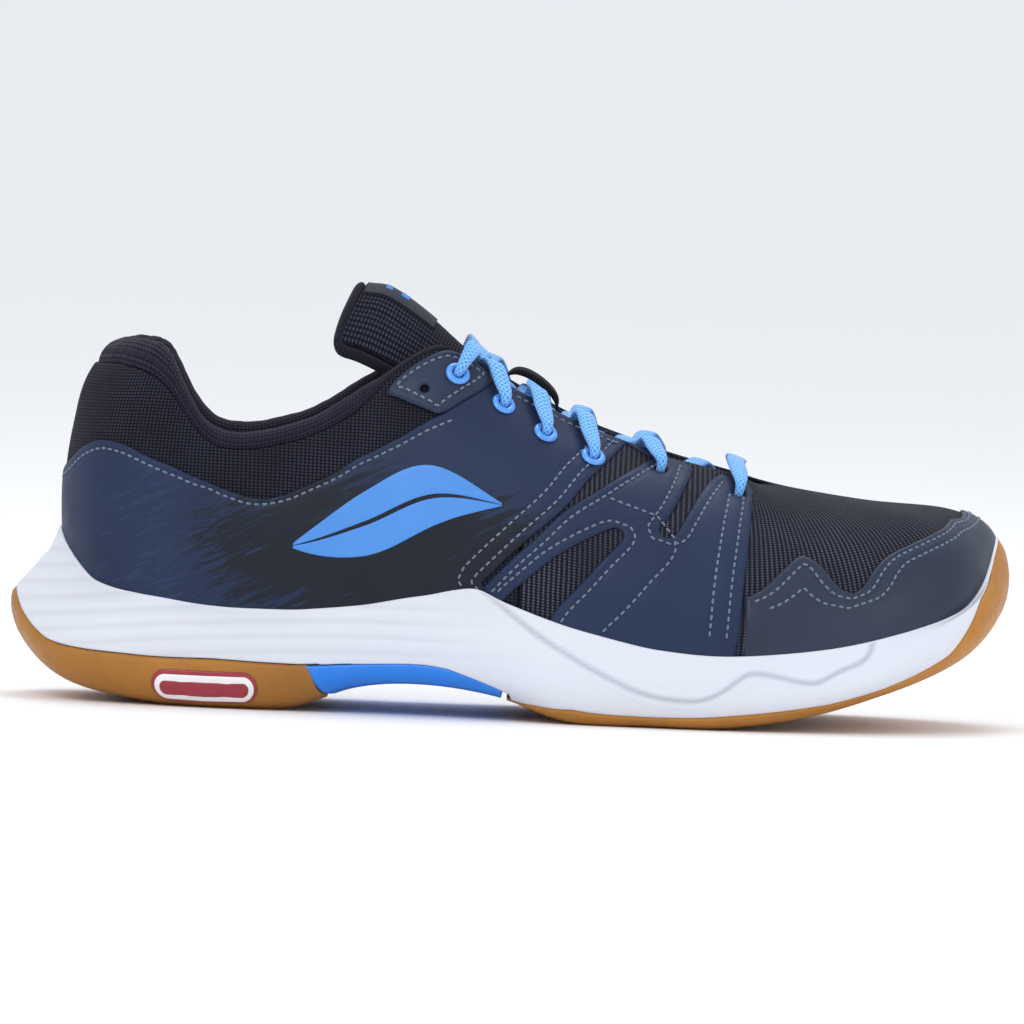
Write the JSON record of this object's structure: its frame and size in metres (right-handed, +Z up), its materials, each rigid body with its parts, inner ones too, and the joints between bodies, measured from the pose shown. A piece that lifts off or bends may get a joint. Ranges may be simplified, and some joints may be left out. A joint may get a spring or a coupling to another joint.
{
  "type": "court shoe",
  "caption": "Low-cut indoor court shoe, right foot: cemented gum, foam and shank sole, layered mesh upper with padded collar, flexing padded tongue, laced throat and a lift-out sockliner.",
  "frame": {"origin": "centre of the outline on the court surface that the sole stands on", "axes": "+X towards the toe, +Y towards the medial (inner) side, +Z up"},
  "size_m": [0.3002, 0.1104, 0.1286],
  "materials": {
    "gum_rubber": "translucent gum rubber, fine moulded texture",
    "shank_plastic": "blue moulded plastic, satin",
    "eva_white": "white moulded EVA foam, matte skin",
    "badge": "dark red printed badge",
    "board": "woven lasting board",
    "eva_foam": "soft EVA foam",
    "sock_cloth": "knitted sockliner cover",
    "stiffener": "moulded thermoplastic stiffener",
    "mesh_navy": "open technical mesh, near-black navy",
    "lining": "brushed knitted lining",
    "pu_foam": "soft polyurethane foam",
    "collar_knit": "soft knitted collar fabric",
    "synthetic": "matt navy synthetic leather, printed",
    "print_blue": "screen-printed blue film",
    "eyelet_blue": "blue enamelled eyelet",
    "lace_blue": "flat knitted lace",
    "aglet": "clear heat-shrunk lace tip",
    "webbing": "black woven webbing",
    "label": "woven satin label"
  },
  "bodies": {
    "shoe": {"heel_outsole": "gum_rubber", "forefoot_outsole": "gum_rubber", "midfoot_shank": "shank_plastic", "midsole": "eva_white", "outsole_badge": "badge", "strobel_board": "board", "heel_counter": "stiffener", "toe_puff": "stiffener", "vamp_mesh": "mesh_navy", "collar_mesh": "mesh_navy", "upper_lining": "lining", "collar_foam": "pu_foam", "collar_roll": "collar_knit", "toe_cap": "synthetic", "lateral_quarter": "synthetic", "medial_quarter": "synthetic", "lateral_fingers": "synthetic", "medial_fingers": "synthetic", "lateral_eyestay_tab": "synthetic", "medial_eyestay_tab": "synthetic", "lateral_print": "print_blue", "medial_print": "print_blue", "eyelet_rings": "eyelet_blue", "lace": "lace_blue", "lace_aglets": "aglet"},
    "tongue": {"tongue_mesh": "mesh_navy", "tongue_foam": "pu_foam", "tongue_lining": "lining", "lace_keeper_loop": "webbing"},
    "tongue_top": {"tongue_top_mesh": "mesh_navy", "tongue_top_foam": "pu_foam", "tongue_top_lining": "lining", "tongue_binding": "collar_knit", "tongue_label": "label"},
    "sockliner": {"sockliner_foam": "eva_foam", "sockliner_cloth": "sock_cloth"}
  },
  "joints": [
    {"name": "tongue_hinge", "type": "hinge", "parent": "shoe", "child": "tongue", "pos_m": [0.07145, 0, 0.0688], "axis": [0, 1, 0], "range_deg": [-1.5, 0], "stiffness_Nm_per_rad": 0.4, "springref_deg": 1.15},
    {"name": "tongue_top_flex", "type": "hinge", "parent": "tongue", "child": "tongue_top", "pos_m": [-0.02251, 0, 0.11485], "axis": [0, 1, 0], "range_deg": [-4, 35], "stiffness_Nm_per_rad": 0.05},
    {"name": "sockliner_lift", "type": "hinge", "parent": "shoe", "child": "sockliner", "pos_m": [0.12645, 0, 0.0275], "axis": [0, 1, 0], "range_deg": [0, 5]}
  ]
}
